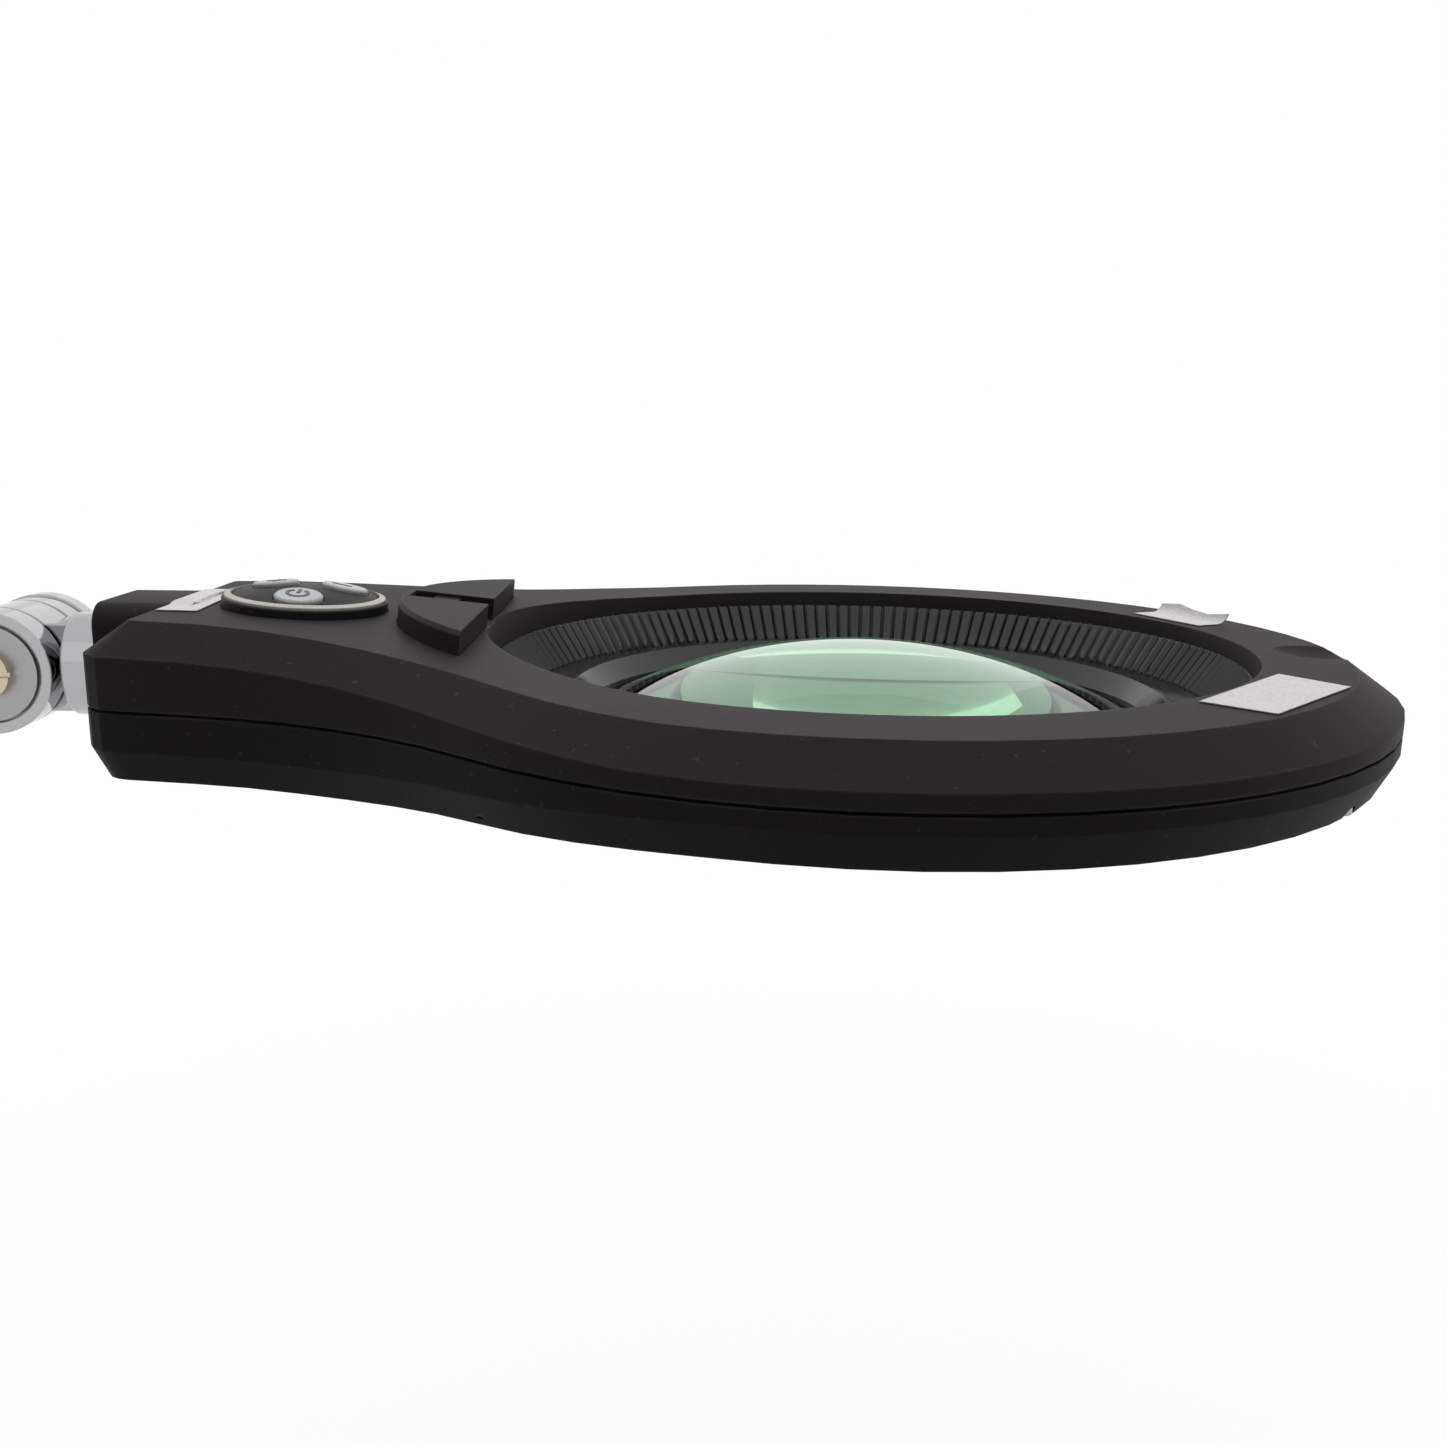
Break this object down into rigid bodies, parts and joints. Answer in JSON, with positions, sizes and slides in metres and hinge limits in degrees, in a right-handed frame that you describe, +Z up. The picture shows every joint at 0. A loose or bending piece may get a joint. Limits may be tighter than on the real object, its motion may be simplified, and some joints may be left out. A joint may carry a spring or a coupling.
{
  "type": "bench magnifier head",
  "caption": "Round ring-shaped illuminated magnifier head with a short flared handle, domed button panel and a chrome tilt-and-swivel knuckle ending in a plain spigot.",
  "frame": {"origin": "middle of the arm spigot's length, on its axis", "axes": "+X along the spigot and handle towards the head's tip, +Y across the head, +Z up through the lens towards the viewer's eye"},
  "size_m": [0.3425, 0.2168, 0.0373],
  "materials": {
    "chrome": "polished chrome plate",
    "satin": "satin plated, faint turning marks",
    "screw_metal": "warm nickel plate, slotted",
    "steel": "zinc plated",
    "washer": "dense friction fibre",
    "brass": "machined",
    "bush": "plain bearing polymer",
    "shell": "charcoal, fine spark texture",
    "panel": "near black, satin",
    "panel_line": "pale grey",
    "button": "light grey, soft",
    "board": "green board",
    "black_parts": "moulded component bodies",
    "lead": "insulated wire",
    "lamp_board": "white board",
    "lamp_chip": "chip with phosphor face",
    "diffuser": "frosted, translucent",
    "gloss_black": "gloss black",
    "rubber": "soft black",
    "lens_glass": "clear with a green tint"
  },
  "bodies": {
    "arm_end": {"arm_yoke": "chrome", "friction_washers": "washer", "pivot_screw": "screw_metal", "pivot_nut": "steel", "near_cap": "satin", "far_cap": "chrome"},
    "stem": {"head_stem": "chrome", "stem_nut": "brass"},
    "head": {"stem_bush": "bush", "upper_housing": "shell", "lower_housing": "shell", "housing_screws": "steel", "control_panel": "panel", "panel_ring": "panel_line", "button_board": "board", "dome_switches": "steel", "driver_board": "board", "driver_parts": "black_parts", "driver_screws": "steel", "lamp_lead": "lead", "lamp_board": "lamp_board", "lamp_chips": "lamp_chip", "diffuser": "diffuser", "hinge_block": "shell"},
    "lens_cartridge": {"lens_ring": "gloss_black", "lens_gasket": "rubber", "lens": "lens_glass", "lens_retainer": "gloss_black"},
    "plus_button": {"button_plus": "button"},
    "minus_button": {"button_minus": "button"},
    "power_button": {"button_power": "button"}
  },
  "joints": [
    {"name": "head_tilt", "type": "hinge", "parent": "arm_end", "child": "stem", "pos_m": [0.036, 0, 0], "axis": [0, 1, 0], "range_deg": [-90, 90]},
    {"name": "head_swivel", "type": "hinge", "parent": "stem", "child": "head", "pos_m": [0.065, 0, 0], "axis": [1, 0, 0], "range_deg": [-90, 90]},
    {"name": "lens_ring_turn", "type": "hinge", "parent": "head", "child": "lens_cartridge", "pos_m": [0.222, 0, 0], "axis": [0, 0, 1], "range_deg": [0, 30]},
    {"name": "plus_press", "type": "slide", "parent": "head", "child": "plus_button", "axis": [0.0647, -0.028, -0.9975], "range_m": [0, 0.0007], "stiffness_N_per_m": 1500, "springref_m": -0.0005},
    {"name": "minus_press", "type": "slide", "parent": "head", "child": "minus_button", "axis": [-0.2087, -0.0559, -0.9764], "range_m": [0, 0.0007], "stiffness_N_per_m": 1500, "springref_m": -0.0005},
    {"name": "power_press", "type": "slide", "parent": "head", "child": "power_button", "axis": [-0.0976, 0.163, -0.9818], "range_m": [0, 0.0007], "stiffness_N_per_m": 1500, "springref_m": -0.0005}
  ]
}
